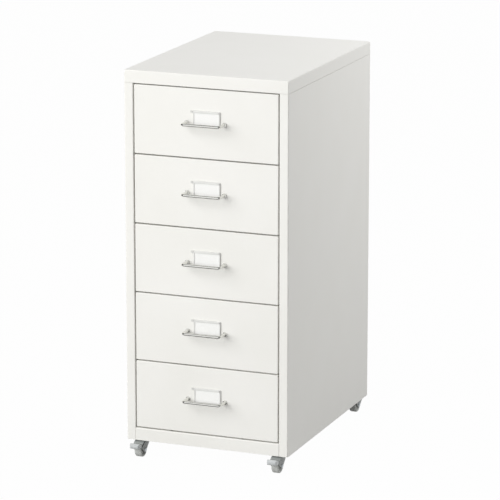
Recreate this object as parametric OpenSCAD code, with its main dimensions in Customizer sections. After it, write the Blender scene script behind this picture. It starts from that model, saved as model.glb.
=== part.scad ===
// Narrow steel drawer cabinet on four swivel castors. All sizes are in millimetres.
// +Z is up and the drawers open towards -Y. The origin lies on the floor,
// under the middle of the whole cabinet with its pulls and castors.

/* [Steel body] */
// Width over the side panels
body_w = 280; // [250:1:360]
// Depth from the drawer fronts' plane to the back edge
body_d = 383; // [375:1:460]
// Height of the steel body, without the castors
body_h = 612.5; // [565:0.5:760]
// Thickness of the sheet steel
sheet_t = 1; // [0.8:0.1:1.2]
// Outside radius of the folds that show
fold_r = 2; // [1.8:0.1:3]
// Gap between the floor and the lower edge of the body
ground_gap = 29.5; // [29.5:0.5:45]

/* [Front frame] */
// Width of each front post
post_w = 15.1; // [12:0.1:22]
// Outside radius of a post's fold beside the drawers
post_fold_r = 1.3; // [1.2:0.1:2]
// Height of the top panel's front band and side flanges
top_band_h = 20.8; // [16:0.1:34]
// Height of the rail under the lowest drawer
bottom_rail_h = 20.9; // [18:0.1:34]
// Depth of the folds behind the posts, the band and the rail
return_d = 12; // [8:0.5:13]
// Width of the flanges that carry the back panel
rear_flange_w = 16; // [14:1:20]
// Height of the seam between the top panel's flange and the side
seam_gap = 0.35; // [0.2:0.05:0.5]

/* [Drawers] */
// Number of drawers
drawer_count = 5; // [3:1:5]
// Gap around each drawer front
front_gap = 2; // [1.5:0.1:3]
// Depth of the folded edge of a drawer front
front_depth = 14; // [13:0.5:18]
// Length of a tray, front to back
tray_l = 350; // [320:1:365]
// Height of a tray's walls
tray_h = 86; // [60:1:90]
// Height of a tray's floor above its front's lower edge
tray_rise = 4; // [3:0.5:8]
// Width of the flange that hangs a tray in its runners
tray_flange_w = 5.5; // [4:0.1:6.5]
// Width of the fold along the top of a tray's back wall
tray_hem_w = 6; // [4:0.5:12]
// How far a drawer pulls out
drawer_travel = 270; // [200:1:280]

/* [Runners] */
// Running gap between a tray's flange and its runner
run_gap = 0.3; // [0.3:0.05:0.6]
// Inside height of the runner channel
channel_h = 5; // [4.5:0.1:8]
// Width of a rack upright, front to back
upright_w = 24; // [16:1:40]

/* [Pulls] */
// Diameter of the pull's rod
rod_d = 5; // [4:0.1:6]
// Distance between the pull's two legs
pull_span = 64; // [58:1:128]
// Distance from the drawer front to the middle of the grip bar
pull_reach = 23; // [18:0.5:35]
// Radius of the rod's bends, on its centre line
pull_bend_r = 4.5; // [3.5:0.1:8]
// Diameter of the collar at each leg's foot
collar_d = 7.4; // [6.5:0.1:10]
// Thickness of the collar
collar_t = 1.5; // [1:0.1:3]
// Height of the pull above the middle of the drawer front
pull_rise = 1.2; // [-6:0.1:6]

/* [Label holders] */
// Width of the holder's frame
holder_w = 46.8; // [40:0.1:50]
// Height of the holder, with its top lip
holder_h = 25; // [20:0.1:30]
// Height of the top lip
lip_h = 4; // [2:0.1:5]
// Length of the ear at the lip's left end
lip_ear = 4; // [3:0.1:6]
// Diameter of the hole in the ear
ear_hole_d = 1.8; // [1:0.1:2]
// Width of the side and bottom lips
edge_lip = 1; // [0.8:0.1:3]
// Thickness of the holder's sheet
holder_t = 0.6; // [0.5:0.05:0.8]
// Thickness of the card
card_t = 0.4; // [0.3:0.05:0.5]
// Height of the holder's top above the middle of the drawer front
holder_top = 21.2; // [14:0.1:30]

/* [Castors] */
// Diameter of a wheel
wheel_d = 25; // [22:0.5:25]
// Width of a wheel
wheel_w = 12.5; // [10:0.5:16]
// Diameter of an axle
axle_d = 4; // [3:0.5:5]
// Distance from a swivel axis forward to its axle
trail = 12; // [10:0.5:14]
// Distance from the body's side to a swivel axis
pivot_in_x = 20.5; // [19:0.5:40]
// Distance from the body's front or back to a swivel axis
pivot_in_y = 19.5; // [19:0.5:40]
// Diameter of the fork's swivel head
head_d = 29; // [24:0.5:32]
// Thickness of the swivel head
head_t = 3; // [2.5:0.1:3.5]
// Thickness of the fork's hood over the wheel
hood_t = 1.8; // [1.5:0.1:2.5]
// Thickness of the fork's cheeks
cheek_t = 1.75; // [1.5:0.05:3]
// Diameter of the kingpin
kingpin_d = 5; // [4:0.5:6]
// Side of the square mounting plate
plate_w = 34; // [31:0.5:34.5]
// Thickness of the mounting plate
plate_t = 2; // [1.5:0.1:2.5]
// Length of a brake pedal from its hinge to its tip
pedal_l = 15; // [12:0.5:18]
// Width of a brake pedal
pedal_w = 17; // [12:0.5:18]
// Radius of a pedal's round toe, seen from the side
toe_r = 4.3; // [3:0.1:4.5]
// How far a pedal tips down when the wheel is locked
pedal_angle = 12; // [6:1:14]

/* [Hidden] */
$fn = 48;
seat = 0.15; // between two pieces that are fastened to each other
play = 0.05; // running fit of a pin in its hole, on the radius

// The hood over a wheel, and how far a castor reaches from its swivel axis
wheel_r = wheel_d / 2;
head_top_z = ground_gap - 0.5;
roof_z = head_top_z - head_t;
hood_in_r = roof_z - wheel_r;
hood_r = hood_in_r + hood_t;
cheek_end = 20; // angle over the level at which the cheeks' round fronts end
hood_end = 35; // the same for the hood between them
braked_hood_end = 48; // leaves room for the pedal's hub
castor_reach = trail + max(wheel_r, hood_r * cos(cheek_end));

// How far the pulls reach out in front, and the screws or castors behind
back_screw_head_t = 2.2;
screw_slack = 0.4; // a screw's hole over the screw's diameter
front_reach = pull_reach + rod_d / 2;
back_reach = max(back_screw_head_t + seat, castor_reach - pivot_in_y);
front_y =-(body_d + back_reach - front_reach) / 2;
rear_y = front_y + body_d;
top_z = ground_gap + body_h;
side_top_z = top_z - top_band_h - seam_gap;
opening_w = body_w - 2 * post_w;
opening_h = body_h - top_band_h - bottom_rail_h;
bend_r = fold_r - sheet_t / 2;

front_w = opening_w - 2 * front_gap;
front_h = (opening_h - (drawer_count + 1) * front_gap) / drawer_count;
front_fold_r = 1.5;
drain_hole_d = 6;

// The pan that closes the cabinet's underside, and the castor plates below it
plate_rise = 1; // castor plates above the body's lower edge
pan_z = ground_gap + plate_rise + plate_t + seat;
pan_rim_h = 12;
corner_notch_h = 6;

// The back panel lies against the inside of the rear flanges
back_panel_y = rear_y - sheet_t - seat;
back_inner_y = back_panel_y - sheet_t;

// Runner channels, open towards the drawer, between the racks' uprights and the tray
flange_side_gap = 1.4; // from a flange's edge to the side of the opening
channel_side_gap = 0.8; // from a flange's edge to the channel's web
channel_lip_gap = 1.5; // from the channel's legs to the tray's wall
rack_back_gap = 8;
flange_edge_x = opening_w / 2 - flange_side_gap;
tray_half_w = flange_edge_x - tray_flange_w;
channel_in_x = tray_half_w + channel_lip_gap;
web_in_x = flange_edge_x + channel_side_gap;
rack_out_x = body_w / 2 - sheet_t - seat;
rack_y = front_y + front_depth + run_gap;
rack_l = back_inner_y - rack_back_gap - rack_y;
tray_y = front_y + sheet_t + seat;
flange_y = rack_y + 1.5;
stop_tab_h = 2.6;
stop_tab_t = 2;
stop_tab_y = tray_y + tray_l - 2 * stop_tab_t;
stop_tooth_t = 2;
stop_tooth_y = stop_tab_y - drawer_travel - run_gap - stop_tooth_t;

// Screws: metric size three for the pulls, four for the back panel, rivets for the plates
pull_screw_d = 3;
pull_screw_l = 11;
pull_screw_head_d = 6;
pull_screw_head_t = 1.8;
back_screw_d = 4;
back_screw_l = 7;
back_screw_head_d = 7.6;
back_screw_rows = 4;
rivet_d = 4;
rivet_head_d = 6.5;
rivet_head_t = 0.9;
rivet_in = plate_w / 2 - rivet_head_d * 0.75;

// Castors
plate_corner_r = 4;
race_d = kingpin_d + 8;
kingpin_head_t = 1.4;
kingpin_rivet_t = 1.2;
wheel_gap = 0.5;
fork_in_w = wheel_w + 2 * wheel_gap;
fork_w = fork_in_w + 2 * cheek_t;
boss_r = axle_d / 2 + 3;
axle_head_t = 1.2;
trunnion_r = 1.5;
hinge_lug_r = trunnion_r + 1.3;
// The pedal's hinge lies as high as lets its cam come to the tread, less a running gap, when it is down
cam_r = 1;
cam_reach = 2.1;
cam_swing = [wheel_r - cam_reach * sin(pedal_angle), cam_reach * cos(pedal_angle)];
hinge_y = -trail - wheel_r;
hinge_z = wheel_r + cam_swing[1] + sqrt(pow(wheel_r + cam_r + run_gap, 2) - pow(cam_swing[0], 2));
toe_drop = 1.4; // from the swivel head's top down to the toe's
toe_rise = head_top_z - toe_drop - toe_r - hinge_z;
cheek_rear = 8;
castor_names = ["front_left", "front_right", "rear_left", "rear_right"];
castor_side = [-1, 1, -1, 1];
castor_end = [-1, -1, 1, 1];

drawers = [1:drawer_count];
castors = [0:3];
brakes = [0, 1];

function drawer_z(i) = top_z - top_band_h - front_gap - front_h / 2 - (i - 1) * (front_h + front_gap);
function tray_floor_z(i) = drawer_z(i) - front_h / 2 + tray_rise;
function flange_z(i) = tray_floor_z(i) + tray_h - sheet_t;
function pivot_x(c) = castor_side[c] * (body_w / 2 - pivot_in_x);
function pivot_y(c) = castor_end[c] < 0 ? front_y + pivot_in_y : rear_y - pivot_in_y;
function heading(a, b) = (b - a) / norm(b - a);

// ---- Folded sheet ----

// One flat run of sheet, seen from its edge, from a to b along the middle of the sheet
module flat_run(a, b, t) {
    side = [-heading(a, b)[1], heading(a, b)[0]] * t / 2;
    polygon([a + side, b + side, b - side, a - side]);
}

// A square bend between two runs, with radius r on the middle of the sheet
module square_bend(corner, into, out, t, r) {
    centre = corner + (out - into) * r;
    far = r + t;
    intersection() {
        translate(centre) difference() {
            circle(r + t / 2);
            circle(r - t / 2);
        }
        polygon([centre, centre + into * far, centre + (into - out) * far, centre - out * far]);
    }
}

// A sheet folded square along a path of points, seen from its edge
module folded(path, t = sheet_t, r = bend_r) {
    last = len(path) - 1;
    for (i = [0:last - 1]) {
        way = heading(path[i], path[i + 1]);
        start = i == 0 ? path[i] : path[i] + way * r;
        end = i == last - 1 ? path[i + 1] : path[i + 1] - way * r;
        flat_run(start, end, t);
    }
    for (i = [1:last - 1])
        square_bend(path[i], heading(path[i - 1], path[i]), heading(path[i], path[i + 1]), t, r);
}

module round_rect(w, d, r) {
    square([w - 2 * r, d], center = true);
    square([w, d - 2 * r], center = true);
    for (x = [-1, 1], y = [-1, 1])
        translate([x * (w / 2 - r), y * (d / 2 - r)]) circle(r);
}

// A rectangle on the X axis with its two upper corners round
module round_shoulders(w, h, r) {
    translate([-w / 2, 0]) square([w, h - r]);
    translate([-w / 2 + r, 0]) square([w - 2 * r, h]);
    for (x = [-1, 1])
        translate([x * (w / 2 - r), h - r]) circle(r);
}

// A block with round upright edges and round upper edges
module soft_block(w, d, h, r) {
    intersection() {
        linear_extrude(h) round_rect(w, d, r);
        rotate([90, 0, 0]) linear_extrude(d + 2, center = true) round_shoulders(w, h, r);
        rotate([90, 0, 90]) linear_extrude(w + 2, center = true) round_shoulders(d, h, r);
    }
}

// A sheet folded down on all four sides, open below
module folded_pan(w, d, h, r, t = sheet_t) {
    difference() {
        soft_block(w, d, h, r);
        translate([0, 0, -1]) soft_block(w - 2 * t, d - 2 * t, h - t + 1, r - t);
    }
}

// What a ball of radius r leaves of the lower corner of a box, to be cut away
module corner_waste(r) {
    difference() {
        translate([0, 0, -r - 1]) cube([r + 1, r + 1, r + 1]);
        sphere(r);
    }
}

// The area inside the two lines that touch both circles, of radius ra about a and rb about b
module tangent_bar(a, ra, b, rb) {
    way = atan2(b[1] - a[1], b[0] - a[0]);
    lean = acos((ra - rb) / norm(b - a));
    left = [cos(way + lean), sin(way + lean)];
    right = [cos(way - lean), sin(way - lean)];
    polygon([a + ra * left, b + rb * left, b + rb * right, a + ra * right]);
}

// ---- Steel body ----

// The right side: front post with its fold, side and rear flange in one sheet.
// Its upper edge is stepped in behind the top panel's flange.
module side_panel() {
    x_out = body_w / 2 - sheet_t / 2;
    x_post = body_w / 2 - post_w + sheet_t / 2;
    x_mid = (x_post + x_out) / 2;
    y_face = front_y + sheet_t / 2;
    y_back = rear_y - sheet_t / 2;
    step = sheet_t + seat;
    step_low = side_top_z - 6;
    step_top = top_z - fold_r - seat;
    post_top = top_z - top_band_h - seat;
    difference() {
        union() {
            translate([0, 0, ground_gap]) linear_extrude(post_top - ground_gap) {
                folded([[x_post, front_y + return_d], [x_post, y_face], [x_mid, y_face]],
                    r = post_fold_r - sheet_t / 2);
                folded([[x_mid, y_face], [x_out, y_face], [x_out, y_back],
                    [body_w / 2 - rear_flange_w, y_back]]);
            }
            translate([0, rear_y - 2 * fold_r, 0]) rotate([90, 0, 0])
                linear_extrude(body_d - 4 * fold_r) polygon([
                    [body_w / 2, step_low], [body_w / 2, side_top_z],
                    [body_w / 2 - step, side_top_z], [body_w / 2 - step, step_top],
                    [body_w / 2 - step - sheet_t, step_top],
                    [body_w / 2 - step - sheet_t, side_top_z - 2 * sheet_t],
                    [body_w / 2 - sheet_t, step_low]]);
        }
        // The seam along the side, under the top panel's flange. The posts reach up to the band.
        translate([body_w / 2 - step, front_y + fold_r, side_top_z]) cube([step + 1, body_d, seam_gap]);
        // The folds stop short of the corners, where the castor plates lie
        translate([body_w / 2 - post_w - 1, front_y + fold_r, ground_gap - 1])
            cube([sheet_t + 2, return_d, corner_notch_h + 1]);
        translate([body_w / 2 - rear_flange_w - 1, rear_y - 2 * sheet_t, ground_gap - 1])
            cube([rear_flange_w - fold_r, 3 * sheet_t, corner_notch_h + 1]);
        // The lower corners are ground to a ball of the fold's radius
        translate([body_w / 2 - fold_r, front_y + fold_r, ground_gap + fold_r])
            mirror([0, 1, 0]) corner_waste(fold_r);
        translate([body_w / 2 - fold_r, rear_y - fold_r, ground_gap + fold_r]) corner_waste(fold_r);
        back_screw_places() rotate([90, 0, 0]) cylinder(d = back_screw_d + screw_slack, h = 8, center = true);
    }
}

module side_panel_right() {
    color("#eceae6") side_panel();
}

module side_panel_left() {
    color("#eceae6") mirror([1, 0, 0]) side_panel();
}

module top_panel() {
    color("#eceae6") {
        translate([0, front_y + body_d / 2, top_z - top_band_h])
            folded_pan(body_w, body_d, top_band_h, fold_r);
        // Fold behind the front band, over the drawer opening
        translate([-opening_w / 2, front_y + sheet_t / 2, top_z - top_band_h])
            cube([opening_w, return_d - sheet_t / 2, sheet_t]);
    }
}

// Rail between the posts, folded back and down under the lowest drawer.
// The two holes in its upper fold hang it on the paint line and drain it.
module bottom_rail() {
    rail_w = opening_w - 2 * seat;
    face_y = front_y + sheet_t / 2;
    lip_y = front_y + return_d;
    rail_top = ground_gap + bottom_rail_h - sheet_t / 2;
    lip_l = 6;
    color("#eceae6") difference() {
        union() {
            translate([-rail_w / 2, 0, 0]) rotate([90, 0, 90]) linear_extrude(rail_w)
                folded([[face_y, ground_gap], [face_y, rail_top], [lip_y, rail_top]]);
            translate([-rail_w / 2, lip_y - sheet_t, rail_top - lip_l])
                cube([rail_w, sheet_t, lip_l + sheet_t / 2]);
        }
        for (x = [-rail_w / 4, rail_w / 4])
            translate([x, (face_y + lip_y) / 2, rail_top]) cylinder(d = drain_hole_d, h = 4, center = true);
    }
}

// The pan under the lowest drawer, with a rim spot-welded to the sides, the rail and the back
module bottom_panel() {
    inner_w = body_w - 2 * sheet_t - 2 * seat;
    rim_y = front_y + sheet_t + seat;
    pan_d = back_inner_y - seat - rim_y;
    front_rim_w = opening_w - 2 * seat;
    color("#e4e2de") difference() {
        union() {
            translate([-inner_w / 2, rim_y, pan_z]) cube([inner_w, pan_d, sheet_t]);
            translate([-front_rim_w / 2, rim_y, pan_z]) cube([front_rim_w, sheet_t, pan_rim_h]);
            for (x = [-inner_w / 2, inner_w / 2 - sheet_t])
                translate([x, rack_y, pan_z]) cube([sheet_t, pan_d + rim_y - rack_y, pan_rim_h]);
            translate([-inner_w / 2, rim_y + pan_d - sheet_t, pan_z]) cube([inner_w, sheet_t, pan_rim_h]);
        }
        // The front corners keep clear of the inside of the posts' folds
        for (side = [0, 1]) mirror([side, 0, 0])
            translate([inner_w / 2 - fold_r, rim_y - 1, pan_z - 1]) cube([fold_r + 1, fold_r + 1, sheet_t + 2]);
        for (c = castors) translate([pivot_x(c), pivot_y(c), 0]) {
            cylinder(d = kingpin_d + 6, h = pan_z + 5);
            plate_rivets() cylinder(d = rivet_d + 2 * play, h = pan_z + 5);
        }
    }
}

module back_panel() {
    panel_w = body_w - 2 * sheet_t - 2 * fold_r;
    color("#e4e2de") difference() {
        translate([-panel_w / 2, back_inner_y, pan_z])
            cube([panel_w, sheet_t, top_z - fold_r - seat - pan_z]);
        for (side = [0, 1]) mirror([side, 0, 0])
            back_screw_places() rotate([90, 0, 0]) cylinder(d = back_screw_d + 2 * play, h = 8, center = true);
    }
}

// ---- Runners ----

module runner_channel(i) {
    low = flange_z(i) - run_gap;
    high = low + channel_h;
    translate([0, rack_y + rack_l, 0]) rotate([90, 0, 0]) linear_extrude(rack_l) {
        folded([[channel_in_x, high + sheet_t / 2], [web_in_x + sheet_t / 2, high + sheet_t / 2],
            [web_in_x + sheet_t / 2, low - sheet_t / 2], [channel_in_x, low - sheet_t / 2]], r = sheet_t);
    }
    // Tooth pressed down from the upper leg, which stops the tray's tab
    tooth_low = flange_z(i) + sheet_t + run_gap;
    translate([channel_in_x + 0.5, stop_tooth_y, tooth_low])
        cube([flange_edge_x - channel_in_x - 1, stop_tooth_t, high - tooth_low + sheet_t / 2]);
}

// Two uprights welded to the side panel carry a channel for each drawer
module runner_rack() {
    upright_z = pan_z + pan_rim_h + 1;
    upright_top = flange_z(1) + channel_h + 8;
    inner_x = web_in_x + sheet_t * 1.5;
    outer_x = rack_out_x - sheet_t / 2;
    for (y = [rack_y, rack_y + rack_l - upright_w])
        translate([0, 0, upright_z]) linear_extrude(upright_top - upright_z)
            folded([[inner_x, y], [inner_x, y + upright_w / 2], [outer_x, y + upright_w / 2],
                [outer_x, y + upright_w]], r = sheet_t);
    for (i = drawers) runner_channel(i);
}

module runner_rack_right() {
    color("#dcdad5") runner_rack();
}

module runner_rack_left() {
    color("#dcdad5") mirror([1, 0, 0]) runner_rack();
}

// ---- Fasteners of the body ----

// Screws of the back panel, down the right rear flange
module back_screw_places() {
    low = ground_gap + 40;
    high = side_top_z - 30;
    for (k = [0:back_screw_rows - 1])
        translate([body_w / 2 - rear_flange_w / 2, rear_y, low + k * (high - low) / (back_screw_rows - 1)])
            children();
}

module plate_rivets() {
    for (x = [-1, 1], y = [-1, 1])
        translate([x * rivet_in, y * rivet_in, 0]) children();
}

// Pan-head screw with a cross recess, head outside, pointing to -Y from the face it bears on
module back_screw() {
    rotate([90, 0, 0]) {
        translate([0, 0, -seat]) cylinder(d = back_screw_d, h = back_screw_l);
        difference() {
            translate([0, 0, -seat - back_screw_head_t])
                cylinder(d1 = back_screw_head_d * 0.7, d2 = back_screw_head_d, h = back_screw_head_t);
            for (turn = [0, 90]) rotate([0, 0, turn])
                translate([0, 0, -seat - back_screw_head_t]) cube([4, 0.9, 2], center = true);
        }
    }
}

// Rivet through the castor plate and the pan, headed below and upset above
module plate_rivet() {
    stack = sheet_t + plate_t + seat;
    bottom = pan_z - plate_t - seat;
    translate([0, 0, bottom - play - rivet_head_t]) cylinder(d = rivet_head_d, h = rivet_head_t);
    translate([0, 0, bottom - play - rivet_head_t]) cylinder(d = rivet_d, h = stack + 2 * play + 2 * rivet_head_t);
    translate([0, 0, bottom + stack + play]) cylinder(d = rivet_head_d, h = rivet_head_t);
}

module body_fasteners() {
    color("silver") {
        for (side = [0, 1]) mirror([side, 0, 0]) back_screw_places() back_screw();
        for (c = castors) translate([pivot_x(c), pivot_y(c), 0]) plate_rivets() plate_rivet();
    }
}

// ---- Drawers ----

module drawer_front(i) {
    color("#f2f1ee") difference() {
        translate([0, front_y + front_depth, drawer_z(i)]) rotate([90, 0, 0])
            folded_pan(front_w, front_h, front_depth, front_fold_r);
        pull_leg_places(i) rotate([90, 0, 0]) cylinder(d = pull_screw_d + screw_slack, h = 8, center = true);
    }
}

module pull_leg_places(i) {
    for (side = [-1, 1])
        translate([side * pull_span / 2, front_y, drawer_z(i) + pull_rise]) children();
}

// Tray folded from one sheet: floor, walls and the flanges that hang it in the runners
module drawer_tray(i) {
    floor_z = tray_floor_z(i);
    wall_x = tray_half_w - sheet_t / 2;
    hang_z = flange_z(i) + sheet_t / 2;
    color("#e4e2de") difference() {
        union() {
            translate([0, tray_y + tray_l, 0]) rotate([90, 0, 0]) linear_extrude(tray_l)
                folded([[-flange_edge_x, hang_z], [-wall_x, hang_z], [-wall_x, floor_z + sheet_t / 2],
                    [wall_x, floor_z + sheet_t / 2], [wall_x, hang_z], [flange_edge_x, hang_z]], r = sheet_t);
            for (y = [tray_y, tray_y + tray_l - sheet_t])
                translate([-wall_x, y, floor_z + sheet_t / 2])
                    cube([2 * wall_x, sheet_t, hang_z - floor_z - sheet_t / 2]);
            // The back wall's upper edge is folded in, which stiffens it
            translate([-wall_x, tray_y + tray_l - tray_hem_w, hang_z - sheet_t / 2])
                cube([2 * wall_x, tray_hem_w, sheet_t]);
            // Tabs turned up at the back ends of the flanges
            for (side = [-1, 1])
                translate([side > 0 ? channel_in_x + 0.5 : -flange_edge_x, stop_tab_y, hang_z])
                    cube([flange_edge_x - channel_in_x - 0.5, stop_tab_t, stop_tab_h + sheet_t / 2]);
        }
        // The flanges start behind the drawer front's folded edge
        for (side = [0, 1]) mirror([side, 0, 0])
            translate([tray_half_w, tray_y - 1, flange_z(i) - 3 * sheet_t])
                cube([tray_flange_w + 1, flange_y - tray_y + 1, 6 * sheet_t]);
        pull_leg_places(i) rotate([90, 0, 0]) cylinder(d = pull_screw_d + screw_slack, h = 8, center = true);
    }
}

// One leg of the pull with its collar, from the drawer front forward to the bend
module pull_leg() {
    rotate([90, 0, 0]) {
        translate([0, 0, seat]) cylinder(d = collar_d, h = collar_t);
        translate([0, 0, seat]) cylinder(d = rod_d, h = pull_reach - pull_bend_r - seat);
    }
}

module pull_bend() {
    rotate_extrude(angle = 90) translate([pull_bend_r, 0]) circle(d = rod_d);
}

module drawer_pull(i) {
    bar_l = pull_span - 2 * pull_bend_r;
    z = drawer_z(i) + pull_rise;
    color("lightgrey") difference() {
        union() {
            pull_leg_places(i) pull_leg();
            translate([-pull_span / 2 + pull_bend_r, front_y - pull_reach + pull_bend_r, z])
                rotate([0, 0, 180]) pull_bend();
            translate([pull_span / 2 - pull_bend_r, front_y - pull_reach + pull_bend_r, z])
                rotate([0, 0, 270]) pull_bend();
            translate([-bar_l / 2, front_y - pull_reach, z]) rotate([0, 90, 0]) cylinder(d = rod_d, h = bar_l);
        }
        pull_leg_places(i) rotate([90, 0, 0]) cylinder(d = pull_screw_d + 2 * play, h = pull_screw_l - 1);
    }
}

// Screws from inside the tray, through its wall and the front, into the pull's legs
module pull_screws(i) {
    inside = 2 * sheet_t + 2 * seat;
    color("silver") pull_leg_places(i) rotate([-90, 0, 0]) {
        translate([0, 0, inside - pull_screw_l]) cylinder(d = pull_screw_d, h = pull_screw_l);
        difference() {
            translate([0, 0, inside])
                cylinder(d1 = pull_screw_head_d, d2 = pull_screw_head_d * 0.77, h = pull_screw_head_t);
            for (turn = [0, 90]) rotate([0, 0, turn])
                translate([0, 0, inside + pull_screw_head_t]) cube([3.2, 0.7, 1.6], center = true);
        }
    }
}

// Label holder: a back plate whose edges fold forward over the card on three sides,
// with a deeper lip and an ear along the top
module label_holder(i) {
    plate_y = front_y - seat - holder_t;
    lip_y = plate_y - card_t - 2 * seat - holder_t;
    low_z = drawer_z(i) + holder_top - holder_h;
    wall_d = plate_y + holder_t - lip_y;
    left_x = (lip_ear - holder_w) / 2;
    color("gainsboro") translate([left_x, 0, low_z]) {
        translate([0, plate_y, 0]) cube([holder_w, holder_t, holder_h]);
        for (x = [0, holder_w - holder_t]) translate([x, lip_y, 0]) cube([holder_t, wall_d, holder_h]);
        for (x = [0, holder_w - edge_lip]) translate([x, lip_y, 0]) cube([edge_lip, holder_t, holder_h]);
        translate([0, lip_y, 0]) cube([holder_w, wall_d, holder_t]);
        translate([0, lip_y, 0]) cube([holder_w, holder_t, edge_lip]);
        translate([-lip_ear, lip_y, holder_h - lip_h]) rotate([90, 0, 0])
            translate([0, 0, -holder_t]) linear_extrude(holder_t) difference() {
                union() {
                    square([holder_w + lip_ear - lip_h / 2, lip_h]);
                    square([holder_w + lip_ear, lip_h / 2]);
                    translate([holder_w + lip_ear - lip_h / 2, lip_h / 2]) circle(d = lip_h);
                }
                translate([lip_ear / 2, lip_h / 2]) circle(d = ear_hole_d);
            }
        translate([0, lip_y, holder_h - holder_t]) cube([holder_w - lip_h / 2, wall_d, holder_t]);
    }
}

module label_card(i) {
    card_y = front_y - seat - holder_t - seat - card_t;
    low_z = drawer_z(i) + holder_top - holder_h + holder_t + seat;
    card_w = holder_w - 2 * holder_t - 2 * seat;
    color("white") translate([(lip_ear - card_w) / 2, card_y, low_z])
        cube([card_w, card_t, holder_h - 2 * holder_t - 2 * seat]);
}

// ---- Castors ----

// Puts a castor, drawn with its swivel axis on Z and its wheel towards -Y, in its place.
// The front wheels trail forward and the rear wheels trail back.
module castor_place(c) {
    translate([pivot_x(c), pivot_y(c), 0]) rotate([0, 0, castor_end[c] < 0 ? 0 : 180]) children();
}

// Plate with a raised race for the swivel head, square with round corners
module castor_plate(c) {
    plate_z = pan_z - seat - plate_t;
    color("silver") castor_place(c) difference() {
        union() {
            translate([0, 0, plate_z]) linear_extrude(plate_t) round_rect(plate_w, plate_w, plate_corner_r);
            translate([0, 0, head_top_z + run_gap])
                cylinder(d1 = race_d, d2 = race_d + 1, h = plate_z - head_top_z - run_gap + 0.1);
        }
        cylinder(d = kingpin_d + 2 * play, h = pan_z + 5);
        plate_rivets() cylinder(d = rivet_d + 2 * play, h = pan_z + 5);
    }
}

// Kingpin: riveted above the plate, with a head that carries the fork
module castor_kingpins() {
    plate_top = pan_z - seat;
    low = roof_z - play;
    color("silver") for (c = castors) castor_place(c) {
        translate([0, 0, low - kingpin_head_t]) {
            cylinder(d1 = kingpin_d + 1, d2 = kingpin_d + 2, h = kingpin_head_t);
            cylinder(d = kingpin_d, h = plate_top + play + kingpin_rivet_t + kingpin_head_t - low);
        }
        translate([0, 0, plate_top + play])
            cylinder(d1 = kingpin_d + 3, d2 = kingpin_d + 1.6, h = kingpin_rivet_t);
    }
}

// A wedge with its tip at the axle, seen from the side: from straight up, forward to an angle over the level
module hood_wedge(end) {
    far = 2 * hood_r;
    polygon([[0, 0], [0, far], [-far, far], far * [-cos(end), sin(end)]]);
}

// The hood over the front of the wheel, seen from the side
module hood_outline(end) {
    translate([-trail, wheel_r]) intersection() {
        difference() {
            circle(hood_r);
            circle(hood_in_r);
        }
        hood_wedge(end);
    }
}

// A cheek seen from the side: round with the hood in front, and a leg from the swivel head
// down to the axle's boss. A braked fork has a lug for the pedal's hinge.
module cheek_outline(braked) {
    translate([-trail, wheel_r]) {
        circle(boss_r);
        intersection() {
            circle(hood_r);
            hood_wedge(cheek_end);
        }
    }
    polygon([
        [cheek_rear, head_top_z], [cheek_rear, roof_z - 1], [-trail + boss_r * 0.9, wheel_r - boss_r * 0.43],
        [-trail - boss_r * 0.9, wheel_r - boss_r * 0.43],
        [-trail - hood_r * cos(cheek_end), wheel_r + hood_r * sin(cheek_end)], [-trail, wheel_r + hood_in_r],
        [-trail, head_top_z]]);
    if (braked) translate([hinge_y, hinge_z]) circle(hinge_lug_r);
}

module castor_fork(c) {
    braked = castor_end[c] < 0;
    color("#b9bbbd") castor_place(c) difference() {
        union() {
            translate([0, 0, roof_z]) cylinder(d = head_d, h = head_t);
            translate([-fork_w / 2, -trail, roof_z]) cube([fork_w, cheek_rear + trail, head_t]);
            translate([-fork_w / 2, 0, 0]) rotate([90, 0, 90])
                linear_extrude(fork_w) hood_outline(braked ? braked_hood_end : hood_end);
            for (x = [-fork_w / 2, fork_in_w / 2])
                translate([x, 0, 0]) rotate([90, 0, 90]) linear_extrude(cheek_t) cheek_outline(braked);
        }
        cylinder(d = kingpin_d + 2 * play, h = 100);
        translate([0, -trail, wheel_r]) rotate([0, 90, 0]) cylinder(d = axle_d + 2 * play, h = 60, center = true);
        if (braked) translate([0, hinge_y, hinge_z]) rotate([0, 90, 0])
            cylinder(r = trunnion_r + play, h = 60, center = true);
    }
}

module castor_axle(c) {
    half = fork_w / 2 + play;
    color("silver") castor_place(c) translate([0, -trail, wheel_r]) rotate([0, 90, 0]) {
        cylinder(d = axle_d, h = 2 * half + 2 * axle_head_t, center = true);
        translate([0, 0, half]) cylinder(d1 = axle_d + 3, d2 = axle_d + 1.4, h = axle_head_t);
        translate([0, 0, -half - axle_head_t]) cylinder(d1 = axle_d + 1.4, d2 = axle_d + 3, h = axle_head_t);
    }
}

// Wheel with round shoulders, dished sides and a hub
module castor_wheel(c) {
    shoulder = 2.2;
    hub_r = axle_d / 2 + 2.5;
    rim = 3.5;
    dish = 2.5;
    half = wheel_w / 2;
    bore_r = axle_d / 2 + play + 0.03;
    color("#9b9ea1") castor_place(c) translate([0, -trail, wheel_r]) rotate([0, 90, 0]) rotate_extrude() {
        polygon([
            [bore_r, -half], [hub_r, -half], [hub_r, -half + dish], [wheel_r - rim, -half + dish],
            [wheel_r - rim, -half], [wheel_r - shoulder, -half], [wheel_r - shoulder, -half + shoulder],
            [wheel_r, -half + shoulder], [wheel_r, half - shoulder], [wheel_r - shoulder, half - shoulder],
            [wheel_r - shoulder, half], [wheel_r - rim, half], [wheel_r - rim, half - dish],
            [hub_r, half - dish], [hub_r, half], [bore_r, half]]);
        for (y = [-half + shoulder, half - shoulder]) translate([wheel_r - shoulder, y]) circle(shoulder);
    }
}

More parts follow.
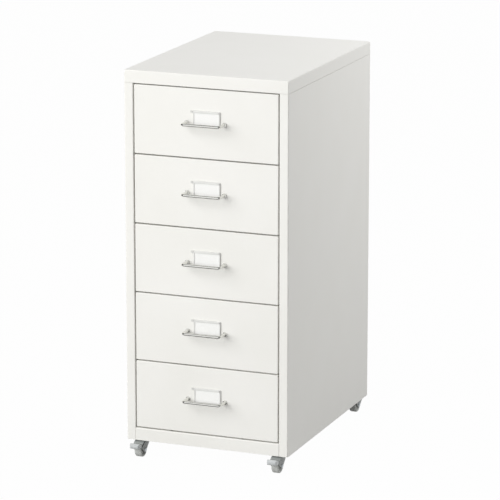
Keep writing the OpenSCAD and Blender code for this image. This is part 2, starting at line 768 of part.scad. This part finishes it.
// Brake pedal: a hub with trunnions, a cam that locks the tread, and an arm that swells to a round toe.
// Only in front of the fork's lugs is it wider than the fork's inside.
module brake_pedal(c) {
    hub_r = 2.3;
    hub_w = fork_in_w - 2 * run_gap;
    toe = [toe_r - pedal_l, toe_rise];
    toe_corner_r = 4;
    wide_front = pedal_l - hinge_lug_r - run_gap;
    color("#c9cbcc") castor_place(c) translate([0, hinge_y, hinge_z]) {
        rotate([0, 90, 0]) {
            cylinder(r = trunnion_r, h = fork_w, center = true);
            translate([cam_reach, 0, 0]) cylinder(r = cam_r, h = hub_w, center = true);
        }
        rotate([90, 0, 90]) linear_extrude(hub_w, center = true) {
            circle(hub_r);
            tangent_bar([0, 0], hub_r, toe, toe_r);
        }
        intersection() {
            rotate([90, 0, 90]) linear_extrude(pedal_w, center = true) {
                circle(hub_r);
                tangent_bar([0, 0], hub_r, toe, toe_r);
                translate(toe) circle(toe_r);
            }
            translate([0, 0, -pedal_l]) linear_extrude(3 * pedal_l) intersection() {
                round_rect(pedal_w, 2 * pedal_l, toe_corner_r);
                translate([-pedal_w, -pedal_l]) square([2 * pedal_w, wide_front]);
            }
        }
    }
}

// ---- What is drawn ----

side_panel_left();
side_panel_right();
top_panel();
bottom_rail();
bottom_panel();
back_panel();
runner_rack_left();
runner_rack_right();
body_fasteners();
castor_kingpins();
for (i = drawers) {
    drawer_front(i);
    drawer_tray(i);
    drawer_pull(i);
    pull_screws(i);
    label_holder(i);
    label_card(i);
}
for (c = castors) {
    castor_plate(c);
    castor_fork(c);
    castor_axle(c);
    castor_wheel(c);
}
for (c = brakes)
    brake_pedal(c);
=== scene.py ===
# Narrow steel drawer cabinet on castors: surfaces, pulls, label holders, light and camera.
import bpy
import bmesh
import math
from mathutils import Matrix, Vector


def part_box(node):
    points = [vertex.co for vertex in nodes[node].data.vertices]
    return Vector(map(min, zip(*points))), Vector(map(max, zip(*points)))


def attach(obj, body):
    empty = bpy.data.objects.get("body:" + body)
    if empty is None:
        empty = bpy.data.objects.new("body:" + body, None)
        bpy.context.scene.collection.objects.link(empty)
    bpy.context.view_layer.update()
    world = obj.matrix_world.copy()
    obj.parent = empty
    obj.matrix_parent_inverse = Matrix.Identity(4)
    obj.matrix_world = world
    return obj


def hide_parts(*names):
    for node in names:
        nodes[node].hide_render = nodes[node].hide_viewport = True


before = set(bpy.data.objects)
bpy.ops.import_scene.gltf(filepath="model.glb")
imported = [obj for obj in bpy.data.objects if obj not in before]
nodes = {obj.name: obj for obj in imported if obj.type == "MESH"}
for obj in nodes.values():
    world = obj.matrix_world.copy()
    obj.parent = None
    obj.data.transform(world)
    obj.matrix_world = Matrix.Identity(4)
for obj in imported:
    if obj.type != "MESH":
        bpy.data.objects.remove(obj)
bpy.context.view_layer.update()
mm = 0.001
noiseLow, noiseHigh = 0.3, 0.7    # noise seldom leaves this span
drawerNumbers = [1, 2, 3, 4, 5]
castorNames = ["front_left", "front_right", "rear_left", "rear_right"]
print("cabinet loaded:", len(nodes), "nodes")


def linearColour(hexColour, alpha=1.0):
    channels = [int(hexColour[i:i + 2], 16) / 255 for i in (1, 3, 5)]
    straight = [c / 12.92 if c <= 0.04045 else ((c + 0.055) / 1.055) ** 2.4 for c in channels]
    return (*straight, alpha)


def addNode(tree, kind, settings=None, links=None):
    # a setting goes to the input of that name, or else to the node; links are input -> output socket
    node = tree.nodes.new(kind)
    for key, value in (settings or {}).items():
        if isinstance(key, int) or key in node.inputs:
            node.inputs[key].default_value = value
        else:
            setattr(node, key, value)
    for key, socket in (links or {}).items():
        tree.links.new(socket, node.inputs[key])
    return node


def newMaterial(name):
    material = bpy.data.materials.new(name)
    material.use_nodes = True
    material.node_tree.nodes.clear()
    return material, material.node_tree


def closeMaterial(material, tree, shader):
    addNode(tree, "ShaderNodeOutputMaterial", links={"Surface": shader.outputs[0]})
    return material


def setRamp(ramp, dark, light, low=noiseLow, high=noiseHigh):
    first, last = ramp.color_ramp.elements
    first.position, first.color = low, linearColour(dark)
    last.position, last.color = high, linearColour(light)
    return ramp


def cyclesPer(sizeMm):
    # pattern cycles per metre for features sizeMm wide
    return 1000.0 / sizeMm


# Polyester powder coat, baked on sheet steel: satin, faintly pebbled, with broad soft highlights
coatLook = {
    "light": "#F6F5F1",      # warm white
    "dark": "#F2F1EC",       # where the coat lies a little thicker
    "cloudMm": 140.0,        # slow change of tone over a panel
    "peelMm": 2.6,           # orange peel; the real one is about 1.5 mm and wouldn't show
    "peelDeepMm": 0.010,
    "grainMm": 0.5,          # grit of the powder
    "grainDeepMm": 0.002,
    "roughLow": 0.36, "roughHigh": 0.46,
}


def powderCoat(name, look):
    material, tree = newMaterial(name)
    place = addNode(tree, "ShaderNodeTexCoord").outputs["Object"]
    cloud = addNode(tree, "ShaderNodeTexNoise", {"Scale": cyclesPer(look["cloudMm"]), "Detail": 2.0},
                    {"Vector": place})
    tone = setRamp(addNode(tree, "ShaderNodeValToRGB", links={"Fac": cloud.outputs["Fac"]}),
                   look["dark"], look["light"])
    gloss = addNode(tree, "ShaderNodeMapRange",
                    {"From Min": noiseLow, "From Max": noiseHigh,
                     "To Min": look["roughLow"], "To Max": look["roughHigh"]},
                    {"Value": cloud.outputs["Fac"]})
    grain = addNode(tree, "ShaderNodeTexNoise", {"Scale": cyclesPer(look["grainMm"]), "Detail": 2.0},
                    {"Vector": place})
    peel = addNode(tree, "ShaderNodeTexNoise", {"Scale": cyclesPer(look["peelMm"]), "Detail": 1.0},
                   {"Vector": place})
    grit = addNode(tree, "ShaderNodeBump", {"Strength": 1.0, "Distance": look["grainDeepMm"] * mm},
                   {"Height": grain.outputs["Fac"]})
    skin = addNode(tree, "ShaderNodeBump", {"Strength": 1.0, "Distance": look["peelDeepMm"] * mm},
                   {"Height": peel.outputs["Fac"], "Normal": grit.outputs["Normal"]})
    shader = addNode(tree, "ShaderNodeBsdfPrincipled", {"IOR": 1.5},
                     {"Base Color": tone.outputs["Color"], "Roughness": gloss.outputs["Result"],
                      "Normal": skin.outputs["Normal"]})
    return closeMaterial(material, tree, shader)


# Chrome plate on a bent and polished steel rod: a mirror with hair scratches along the bar
chromeLook = {
    "light": "#E7E7E3", "dark": "#DFDFDB",
    "smearMm": 9.0,          # wiped patches
    "scratchMm": 0.35, "scratchDeepMm": 0.0012,
    "scratchStretch": 0.08,  # along the bar, so that a scratch is about 12 times as long as wide
    "roughLow": 0.035, "roughHigh": 0.075,
}


def chromePlate(name, look):
    material, tree = newMaterial(name)
    place = addNode(tree, "ShaderNodeTexCoord").outputs["Object"]
    along = addNode(tree, "ShaderNodeMapping", {"Scale": (look["scratchStretch"], 1.0, 1.0)},
                    {"Vector": place})
    hair = addNode(tree, "ShaderNodeTexNoise", {"Scale": cyclesPer(look["scratchMm"]), "Detail": 3.0},
                   {"Vector": along.outputs["Vector"]})
    smear = addNode(tree, "ShaderNodeTexNoise", {"Scale": cyclesPer(look["smearMm"]), "Detail": 2.0},
                    {"Vector": place})
    tone = setRamp(addNode(tree, "ShaderNodeValToRGB", links={"Fac": smear.outputs["Fac"]}),
                   look["dark"], look["light"])
    gloss = addNode(tree, "ShaderNodeMapRange",
                    {"From Min": noiseLow, "From Max": noiseHigh,
                     "To Min": look["roughLow"], "To Max": look["roughHigh"]},
                    {"Value": smear.outputs["Fac"]})
    lines = addNode(tree, "ShaderNodeBump", {"Strength": 1.0, "Distance": look["scratchDeepMm"] * mm},
                    {"Height": hair.outputs["Fac"]})
    shader = addNode(tree, "ShaderNodeBsdfPrincipled", {"Metallic": 1.0},
                     {"Base Color": tone.outputs["Color"], "Roughness": gloss.outputs["Result"],
                      "Normal": lines.outputs["Normal"]})
    return closeMaterial(material, tree, shader)


# Stoving enamel on pressed steel strip: pale grey, harder and smoother than the powder coat
enamelLook = {
    "light": "#E5E5E2", "dark": "#DFDFDC",
    "flowMm": 7.0,           # where the enamel ran before it was baked
    "flowDeepMm": 0.008,
    "roughLow": 0.32, "roughHigh": 0.42,
}


def stovedEnamel(name, look):
    material, tree = newMaterial(name)
    place = addNode(tree, "ShaderNodeTexCoord").outputs["Object"]
    flow = addNode(tree, "ShaderNodeTexNoise", {"Scale": cyclesPer(look["flowMm"]), "Detail": 2.0},
                   {"Vector": place})
    tone = setRamp(addNode(tree, "ShaderNodeValToRGB", links={"Fac": flow.outputs["Fac"]}),
                   look["dark"], look["light"])
    gloss = addNode(tree, "ShaderNodeMapRange",
                    {"From Min": noiseLow, "From Max": noiseHigh,
                     "To Min": look["roughLow"], "To Max": look["roughHigh"]},
                    {"Value": flow.outputs["Fac"]})
    waves = addNode(tree, "ShaderNodeBump", {"Strength": 1.0, "Distance": look["flowDeepMm"] * mm},
                    {"Height": flow.outputs["Fac"]})
    shader = addNode(tree, "ShaderNodeBsdfPrincipled", {"IOR": 1.52},
                     {"Base Color": tone.outputs["Color"], "Roughness": gloss.outputs["Result"],
                      "Normal": waves.outputs["Normal"]})
    return closeMaterial(material, tree, shader)


# Bleached card, uncoated: matt, with a trace of fibre
cardLook = {
    "light": "#FCFCFB", "dark": "#F7F7F4",
    "fibreMm": 0.8, "fibreDeepMm": 0.006,
    "fibreStretch": 0.35,    # fibres lie mostly along the card
    "rough": 0.85,
}


def bleachedCard(name, look):
    material, tree = newMaterial(name)
    place = addNode(tree, "ShaderNodeTexCoord").outputs["Object"]
    along = addNode(tree, "ShaderNodeMapping", {"Scale": (look["fibreStretch"], 1.0, 1.0)},
                    {"Vector": place})
    fibre = addNode(tree, "ShaderNodeTexNoise", {"Scale": cyclesPer(look["fibreMm"]), "Detail": 4.0},
                    {"Vector": along.outputs["Vector"]})
    tone = setRamp(addNode(tree, "ShaderNodeValToRGB", links={"Fac": fibre.outputs["Fac"]}),
                   look["dark"], look["light"])
    tooth = addNode(tree, "ShaderNodeBump", {"Strength": 1.0, "Distance": look["fibreDeepMm"] * mm},
                    {"Height": fibre.outputs["Fac"]})
    shader = addNode(tree, "ShaderNodeBsdfPrincipled", {"Roughness": look["rough"]},
                     {"Base Color": tone.outputs["Color"], "Normal": tooth.outputs["Normal"]})
    return closeMaterial(material, tree, shader)


# Zinc plate on mild steel: pale blue-grey with a fine patchy crystal pattern
zincLook = {
    "light": "#C3C7CA", "dark": "#A6ABAF",
    "spangleMm": 1.4,        # width of a crystal patch
    "roughLow": 0.28, "roughHigh": 0.45,
}


def zincPlate(name, look):
    material, tree = newMaterial(name)
    place = addNode(tree, "ShaderNodeTexCoord").outputs["Object"]
    spangle = addNode(tree, "ShaderNodeTexVoronoi", {"Scale": cyclesPer(look["spangleMm"])},
                      {"Vector": place})
    split = addNode(tree, "ShaderNodeSeparateColor", links={"Color": spangle.outputs["Color"]})
    tone = setRamp(addNode(tree, "ShaderNodeValToRGB", links={"Fac": split.outputs["Red"]}),
                   look["dark"], look["light"], 0.0, 1.0)    # a cell's value may be anything from 0 to 1
    gloss = addNode(tree, "ShaderNodeMapRange",
                    {"To Min": look["roughLow"], "To Max": look["roughHigh"]},
                    {"Value": split.outputs["Green"]})
    shader = addNode(tree, "ShaderNodeBsdfPrincipled", {"Metallic": 0.9},
                     {"Base Color": tone.outputs["Color"], "Roughness": gloss.outputs["Result"]})
    return closeMaterial(material, tree, shader)


# Nylon, injection moulded: slightly waxy, with the spark-eroded grain of the mould,
# which is about 0.3 mm on the real one and is drawn coarser here so that it shows
forkLook = {
    # darker than the nylon's own grey: partly painted shade for the shadow the cabinet throws on the forks
    "light": "#A4A8A6", "dark": "#999D9B",
    "flowMm": 12.0,          # tone along the flow of the melt
    "sparkMm": 0.9, "sparkDeepMm": 0.012, "rough": 0.38,
}
treadLook = {
    "light": "#CCCECB", "dark": "#C2C4C1",
    "flowMm": 12.0, "sparkMm": 1.2, "sparkDeepMm": 0.02, "rough": 0.52,
}
pedalLook = {
    # lighter than the fork: partly a lighter nylon of its own, partly painted highlight on the pedal's top
    "light": "#C9CCCD", "dark": "#C0C4C5",
    "flowMm": 12.0, "sparkMm": 0.9, "sparkDeepMm": 0.006, "rough": 0.24,
}


def mouldedNylon(name, look):
    material, tree = newMaterial(name)
    place = addNode(tree, "ShaderNodeTexCoord").outputs["Object"]
    flow = addNode(tree, "ShaderNodeTexNoise", {"Scale": cyclesPer(look["flowMm"]), "Detail": 1.0},
                   {"Vector": place})
    tone = setRamp(addNode(tree, "ShaderNodeValToRGB", links={"Fac": flow.outputs["Fac"]}),
                   look["dark"], look["light"])
    spark = addNode(tree, "ShaderNodeTexNoise", {"Scale": cyclesPer(look["sparkMm"]), "Detail": 3.0},
                    {"Vector": place})
    pits = addNode(tree, "ShaderNodeBump", {"Strength": 1.0, "Distance": look["sparkDeepMm"] * mm},
                   {"Height": spark.outputs["Fac"]})
    shader = addNode(tree, "ShaderNodeBsdfPrincipled", {"Roughness": look["rough"], "IOR": 1.53},
                     {"Base Color": tone.outputs["Color"], "Normal": pits.outputs["Normal"]})
    return closeMaterial(material, tree, shader)


bodyCoat = powderCoat("powderCoatBody", coatLook)
frontCoat = powderCoat("powderCoatFront", coatLook)    # its own, for drawers in another colour
pullChrome = chromePlate("chromePlatedRod", chromeLook)
holderEnamel = stovedEnamel("stovedEnamelStrip", enamelLook)
cardStock = bleachedCard("bleachedCard", cardLook)
zincSteel = zincPlate("zincPlatedSteel", zincLook)
forkNylon = mouldedNylon("forkNylonWithPaintedShade", forkLook)
treadNylon = mouldedNylon("mouldedTreadNylon", treadLook)
pedalNylon = mouldedNylon("pedalNylonWithPaintedHighlight", pedalLook)
print("materials made")

# Every solid keeps its mesh: welding, merging and edge rounding are modifiers on it
edgeLook = {
    "sheetMm": 0.25, "trayMm": 0.1, "steelMm": 0.15,    # rounding of steel edges
    "forkMm": 0.5, "pedalMm": 0.8, "pedalSteps": 3,     # rounding of nylon edges
    "limitDeg": 38,          # an edge that turns by more is rounded, or split where there is no rounding
    "weldMm": 0.002,         # points nearer than this are one
    "mergeDeg": 0.6,         # faces that turn by less are one
    "flatWeight": 80,        # how far large faces set the shading
}


def dress(name, material, edgeMm=0.0, steps=2):
    part = nodes[name]
    part.data.materials.clear()
    part.data.materials.append(material)
    part.data.polygons.foreach_set("use_smooth", [True] * len(part.data.polygons))
    weld = part.modifiers.new("weld", "WELD")
    weld.merge_threshold = edgeLook["weldMm"] * mm
    merge = part.modifiers.new("merge", "DECIMATE")
    merge.decimate_type = "DISSOLVE"
    merge.angle_limit = math.radians(edgeLook["mergeDeg"])
    if edgeMm:
        bevel = part.modifiers.new("edge", "BEVEL")
        bevel.width = edgeMm * mm
        bevel.segments = steps
        bevel.limit_method = "ANGLE"
        bevel.angle_limit = math.radians(edgeLook["limitDeg"])
        bevel.use_clamp_overlap = False
    else:
        split = part.modifiers.new("edge", "EDGE_SPLIT")
        split.split_angle = math.radians(edgeLook["limitDeg"])
    normals = part.modifiers.new("normals", "WEIGHTED_NORMAL")
    normals.weight = edgeLook["flatWeight"]


for name in ["side_panel_left", "side_panel_right", "runner_rack_left", "runner_rack_right"]:
    dress(name, bodyCoat)
for name in ["top_panel", "bottom_rail", "bottom_panel", "back_panel"]:
    dress(name, bodyCoat, edgeLook["sheetMm"])
for i in drawerNumbers:
    dress(f"drawer_front_{i}", frontCoat, edgeLook["sheetMm"])
    dress(f"drawer_tray_{i}", bodyCoat, edgeLook["trayMm"])
    dress(f"pull_screws_{i}", zincSteel, edgeLook["steelMm"])
    dress(f"label_card_{i}", cardStock)
for name in ["body_fasteners", "castor_kingpins"]:
    dress(name, zincSteel, edgeLook["steelMm"])
for castor in castorNames:
    dress(f"castor_plate_{castor}", zincSteel, edgeLook["steelMm"])
    dress(f"castor_axle_{castor}", zincSteel, edgeLook["steelMm"])
    dress(f"castor_fork_{castor}", forkNylon, edgeLook["forkMm"])
    dress(f"castor_wheel_{castor}", treadNylon, edgeLook["steelMm"])
for castor in castorNames[:2]:    # only the front castors have a brake
    dress(f"brake_pedal_{castor}", pedalNylon, edgeLook["pedalMm"], edgeLook["pedalSteps"])
print("solids dressed")


def newObject(name, mesh, material):
    data = bpy.data.meshes.new(name)
    mesh.to_mesh(data)
    mesh.free()
    data.materials.append(material)
    thing = bpy.data.objects.new(name, data)
    bpy.context.scene.collection.objects.link(thing)
    return thing


def smoothPiece(name, mesh, material, sharpDeg):
    # shaded smooth, apart from edges that turn by more than sharpDeg
    bmesh.ops.recalc_face_normals(mesh, faces=mesh.faces[:])
    piece = newObject(name, mesh, material)
    piece.data.polygons.foreach_set("use_smooth", [True] * len(piece.data.polygons))
    piece.data.set_sharp_from_angle(angle=math.radians(sharpDeg))
    return piece


def skinRings(mesh, rings):
    for first, second in zip(rings, rings[1:]):
        for k in range(len(first)):
            after = (k + 1) % len(first)
            mesh.faces.new([first[k], first[after], second[after], second[k]])


# The pull: one rod bent twice, with a turned collar at each foot
pullShape = {
    "rodMm": 5.0, "spanMm": 64.0, "reachMm": 23.0, "bendMm": 4.5,
    "collarMm": 7.4, "collarDeepMm": 1.5,
    "collarRoundMm": 0.3,    # at the collar's front edge
    "roundCut": 0.3,         # share of a radius that a round takes off at 45 degrees
    "footCutMm": 0.1,        # chamfer at the collar's rear edge
    "seatMm": 0.15,          # from the foot to the drawer's face
    "around": 32, "bendSteps": 12, "sharpDeg": 50,
}


def ringAt(mesh, centre, across, up, radius, count):
    angles = [2 * math.pi * k / count for k in range(count)]
    return [mesh.verts.new(centre + (across * math.cos(a) + up * math.sin(a)) * radius) for a in angles]


def rodPath(half, reach, bend, footY, faceY, level, steps):
    # places and directions along the rod, from the left foot round to the right one
    turns = [math.radians(90) * k / steps for k in range(steps + 1)]
    path = [(Vector((-half, footY, level)), Vector((0, -1, 0)))]
    for side in (-1, 1):
        centre = Vector((side * (half - bend), faceY - reach + bend, level))
        for turn in turns[::-side]:
            out = Vector((side * math.cos(turn), -math.sin(turn), 0))
            path.append((centre + out * bend, Vector((math.sin(turn), side * math.cos(turn), 0))))
    path.append((Vector((half, footY, level)), Vector((0, 1, 0))))
    return path


def pullPiece(number, shape):
    low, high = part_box(f"drawer_pull_{number}")
    level = (low.z + high.z) / 2
    half, count = shape["spanMm"] / 2 * mm, shape["around"]
    right, up = Vector((1, 0, 0)), Vector((0, 0, 1))
    mesh = bmesh.new()
    path = rodPath(half, shape["reachMm"] * mm, shape["bendMm"] * mm,
                   high.y, high.y + shape["seatMm"] * mm, level, shape["bendSteps"])
    rod = [ringAt(mesh, spot, way.cross(up), up, shape["rodMm"] / 2 * mm, count) for spot, way in path]
    skinRings(mesh, rod)
    mesh.faces.new(rod[0][::-1])
    mesh.faces.new(rod[-1])
    inner, outer, deep = shape["rodMm"] / 2, shape["collarMm"] / 2, shape["collarDeepMm"]
    soft, cut = shape["collarRoundMm"], shape["footCutMm"]
    bite = soft * shape["roundCut"]
    # the collar in section, in mm: radius and distance from the foot
    profile = [(inner, 0), (outer - cut, 0), (outer, cut), (outer, deep - soft),
               (outer - bite, deep - bite), (outer - soft, deep), (inner, deep)]
    for side in (-1, 1):
        collar = []
        for radius, out in profile:
            centre = Vector((side * half, high.y - out * mm, level))
            collar.append(ringAt(mesh, centre, right, up, radius * mm, count))
        skinRings(mesh, collar)
    piece = smoothPiece(f"pullRod_{number}", mesh, pullChrome, shape["sharpDeg"])
    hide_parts(f"drawer_pull_{number}")
    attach(piece, f"drawer_{number}")


for i in drawerNumbers:
    pullPiece(i, pullShape)
print("pulls made")

# The label holder: a back plate whose edges are pressed forward and over the card,
# with a deeper lip and an ear above
holderShape = {
    "sheetMm": 0.6, "cornerMm": 1.4,
    "edgeDeepMm": 1.9, "edgeWideMm": 0.9,    # the pressed edge, forward and across
    "sideLipMm": 2.2, "topLipMm": 4.0,
    "lipStepMm": 0.01,       # over which the side lip's width becomes the top lip's
    "earMm": 4.0, "earLapMm": 0.4, "holeMm": 1.8,
    "earSquareness": 5.0,    # 2 is round, more is squarer
    "cornerSteps": 8, "edgeSteps": 8, "earSteps": 40, "sharpDeg": 40,
}


def holderPath(low, high, shape):
    # round the holder from under the lip's left end:
    # place on its outer edge, outward direction, width of the lip
    left, right = low.x + shape["earMm"] * mm, high.x
    corner, side, top = (shape[key] * mm for key in ("cornerMm", "sideLipMm", "topLipMm"))
    path = [(left, high.z - top, (-1, 0), side)]
    for x, z, start in ((left + corner, low.z + corner, 180), (right - corner, low.z + corner, 270),
                        (right - corner, high.z - corner, 0)):
        for k in range(shape["cornerSteps"] + 1):
            angle = math.radians(start + 90 * k / shape["cornerSteps"])
            out = (math.cos(angle), math.sin(angle))
            path.append((x + corner * out[0], z + corner * out[1], out, side))
    path.append((right - corner - shape["lipStepMm"] * mm, high.z, (0, 1), top))
    path.append((left, high.z, (0, 1), top))
    return path


def pressedEdge(mesh, station, backY, shape):
    # the strip cut across: a quarter round from the drawer's face forward, then the lip over the card
    x, z, (outX, outZ), lip = station
    deep, wide = shape["edgeDeepMm"] * mm, shape["edgeWideMm"] * mm
    sheet, rim = shape["sheetMm"] * mm, shape["sideLipMm"] * mm
    steps, start = shape["edgeSteps"], math.asin(sheet / (deep - sheet))
    turns = [math.pi / 2 * k / steps for k in range(steps + 1)]
    outside = [(wide * (math.cos(a) - 1), deep * math.sin(a)) for a in turns]
    back = [start + (math.pi / 2 - start) * k / steps for k in range(steps + 1)][::-1]
    inside = [((wide - sheet) * math.cos(a) - wide, (deep - sheet) * math.sin(a)) for a in back]
    section = outside + [(-lip, deep), (-lip, deep - sheet)] + inside + [(-rim, sheet), (-rim, 0)]
    return [mesh.verts.new((x + outX * u, backY - w, z + outZ * u)) for u, w in section]


def earRing(mesh, centre, halfX, halfZ, power, count):
    # a square with round corners where power is high, a round where it is 2
    ring = []
    for k in range(count):
        across, up = math.cos(2 * math.pi * k / count), math.sin(2 * math.pi * k / count)
        reach = (abs(across) ** power + abs(up) ** power) ** (-1 / power)
        ring.append(mesh.verts.new(centre + Vector((halfX * reach * across, 0, halfZ * reach * up))))
    return ring


def holderPiece(number, shape):
    low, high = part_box(f"label_holder_{number}")
    left, sheet = low.x + shape["earMm"] * mm, shape["sheetMm"] * mm
    mesh = bmesh.new()
    strip = [pressedEdge(mesh, station, high.y, shape) for station in holderPath(low, high, shape)]
    skinRings(mesh, strip)
    mesh.faces.new(strip[0][::-1])
    mesh.faces.new(strip[-1])
    rim = shape["sideLipMm"] * mm
    plateSize = (high.x - left - 2 * rim, sheet, high.z - low.z - 2 * rim)
    plateMiddle = Vector(((left + high.x) / 2, high.y - sheet / 2, (low.z + high.z) / 2))
    bmesh.ops.create_cube(mesh, size=1, matrix=Matrix.LocRotScale(plateMiddle, None, plateSize))
    lap, tall = shape["earLapMm"] * mm, shape["topLipMm"] * mm
    hole = shape["holeMm"] / 2 * mm
    rings = []
    for y, inner in ((low.y, False), (low.y + sheet, False), (low.y + sheet, True), (low.y, True)):
        centre = Vector(((low.x + left + lap) / 2, y, high.z - tall / 2))
        half = (hole, hole, 2) if inner else ((left + lap - low.x) / 2, tall / 2, shape["earSquareness"])
        rings.append(earRing(mesh, centre, *half, shape["earSteps"]))
    skinRings(mesh, rings + rings[:1])
    piece = smoothPiece(f"labelFrame_{number}", mesh, holderEnamel, shape["sharpDeg"])
    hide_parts(f"label_holder_{number}")
    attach(piece, f"drawer_{number}")


for i in drawerNumbers:
    holderPiece(i, holderShape)
print("label holders made")

# Floor and surroundings: white to the eye and to the chrome, grey for the light that they throw back
stageLook = {
    "floor": "#A8A8A6", "metres": 60.0,
    "sinkMm": 0.2,           # so that the wheels don't share the floor's plane
    "glow": 0.985,           # share of plain white to the eye; the rest keeps the shadow
    "dome": 0.365,           # light from all round
}
plainWhite = linearColour("#FFFFFF")


def seenDirectly(tree, share):
    # share for rays from the camera and from mirrors and glass, 0 for the light thrown on the object
    path = addNode(tree, "ShaderNodeLightPath")
    mirror = addNode(tree, "ShaderNodeMath", {"operation": "MAXIMUM"},
                     {0: path.outputs["Is Glossy Ray"], 1: path.outputs["Is Transmission Ray"]})
    either = addNode(tree, "ShaderNodeMath", {"operation": "MAXIMUM"},
                     {0: path.outputs["Is Camera Ray"], 1: mirror.outputs[0]})
    part = addNode(tree, "ShaderNodeMath", {"operation": "MULTIPLY", 1: share}, {0: either.outputs[0]})
    return part.outputs[0]


def flatPanel(name, width, depth, material):
    mesh = bmesh.new()
    across, along = width / 2, depth / 2
    corners = [(-across, -along), (across, -along), (across, along), (-across, along)]
    mesh.faces.new([mesh.verts.new((x, y, 0)) for x, y in corners])
    panel = newObject(name, mesh, material)
    return panel


def paleFloor(look):
    material, tree = newMaterial("paintedFloor")
    paint = addNode(tree, "ShaderNodeBsdfDiffuse", {"Color": linearColour(look["floor"])})
    white = addNode(tree, "ShaderNodeEmission", {"Color": plainWhite, "Strength": 1.0})
    both = addNode(tree, "ShaderNodeMixShader",
                   links={0: seenDirectly(tree, look["glow"]), 1: paint.outputs[0], 2: white.outputs[0]})
    floor = flatPanel("floor", look["metres"], look["metres"], closeMaterial(material, tree, both))
    floor.location.z = -look["sinkMm"] * mm


def studioWorld(look):
    world = bpy.data.worlds.new("studio")
    world.use_nodes = True
    tree = world.node_tree
    tree.nodes.clear()
    dome = addNode(tree, "ShaderNodeBackground", {"Color": plainWhite, "Strength": look["dome"]})
    white = addNode(tree, "ShaderNodeBackground", {"Color": plainWhite, "Strength": 1.0})
    both = addNode(tree, "ShaderNodeMixShader",
                   links={0: seenDirectly(tree, 1.0), 1: dome.outputs[0], 2: white.outputs[0]})
    addNode(tree, "ShaderNodeOutputWorld", links={"Surface": both.outputs[0]})
    bpy.context.scene.world = world


# Cards that only reflections see, as a photographer sets them up:
# two nearly black ones at the sides give the chrome its dark lines, two grey ones its middle tones
cardPlan = {
    "leftCard": {"from": (-1.6, -0.65, 0.7), "to": (0, -0.2, 0.4), "size": (1.6, 2.4), "tone": "#0C0C0C"},
    "rightCard": {"from": (1.35, -0.6, 1.5), "to": (0, -0.2, 0.4), "size": (2.2, 2.4), "tone": "#080808"},
    "overheadCard": {"from": (0, -0.45, 2.2), "to": (0, -0.2, 0.4), "size": (3.0, 1.5), "tone": "#727270"},
    "lowCard": {"from": (0, -0.6, 0.004), "to": (0, -0.6, 0), "size": (2.4, 0.7), "tone": "#747472"},
}


def aim(thing, place, target):
    thing.location = place
    thing.rotation_mode = "QUATERNION"
    thing.rotation_quaternion = (Vector(target) - Vector(place)).to_track_quat("-Z", "Y")


def reflectedCard(name, look):
    material, tree = newMaterial(name)
    shader = addNode(tree, "ShaderNodeEmission", {"Color": linearColour(look["tone"]), "Strength": 1.0})
    card = flatPanel(name, *look["size"], closeMaterial(material, tree, shader))
    aim(card, look["from"], look["to"])
    card.visible_camera = card.visible_diffuse = card.visible_shadow = card.visible_transmission = False


# A large soft lamp in front on the left, and a weak one that lights the right side's rear
lampPlan = {
    "keyLamp": {"from": (-2.0, -3.3, 1.95), "to": (0, 0, 0.35), "size": (4.6, 3.3), "watts": 172},
    "rearLamp": {"from": (1.1, 0.55, 1.25), "to": (0.14, 0.1, 0.45), "size": (0.8, 0.8), "watts": 9.0},
}


def softLamp(name, look):
    light = bpy.data.lights.new(name, "AREA")
    light.shape = "RECTANGLE"
    light.size, light.size_y = look["size"]
    light.energy = look["watts"]
    lamp = bpy.data.objects.new(name, light)
    aim(lamp, look["from"], look["to"])
    lamp.visible_glossy = False    # the chrome sees the white room, not the lamps
    bpy.context.scene.collection.objects.link(lamp)


# From the front, a little from the right and above, with a long lens
cameraPlan = {
    "place": (1.872469, -4.742362, 1.570023),
    "yawDeg": 21.50972, "pitchDeg": 13.80051,
    "lensMm": 229.543, "sensorMm": 36.0,
    "near": 0.1, "far": 100.0,
}


def photoCamera(plan):
    data = bpy.data.cameras.new("camera")
    data.sensor_width = plan["sensorMm"]
    data.lens = plan["lensMm"]
    data.clip_start, data.clip_end = plan["near"], plan["far"]
    camera = bpy.data.objects.new("camera", data)
    camera.location = plan["place"]
    camera.rotation_euler = (math.radians(90 - plan["pitchDeg"]), 0, math.radians(plan["yawDeg"]))
    bpy.context.scene.collection.objects.link(camera)
    bpy.context.scene.camera = camera


paleFloor(stageLook)
studioWorld(stageLook)
for name, look in cardPlan.items():
    reflectedCard(name, look)
for name, look in lampPlan.items():
    softLamp(name, look)
photoCamera(cameraPlan)
bpy.context.scene.view_settings.view_transform = "Standard"
print("stage set")
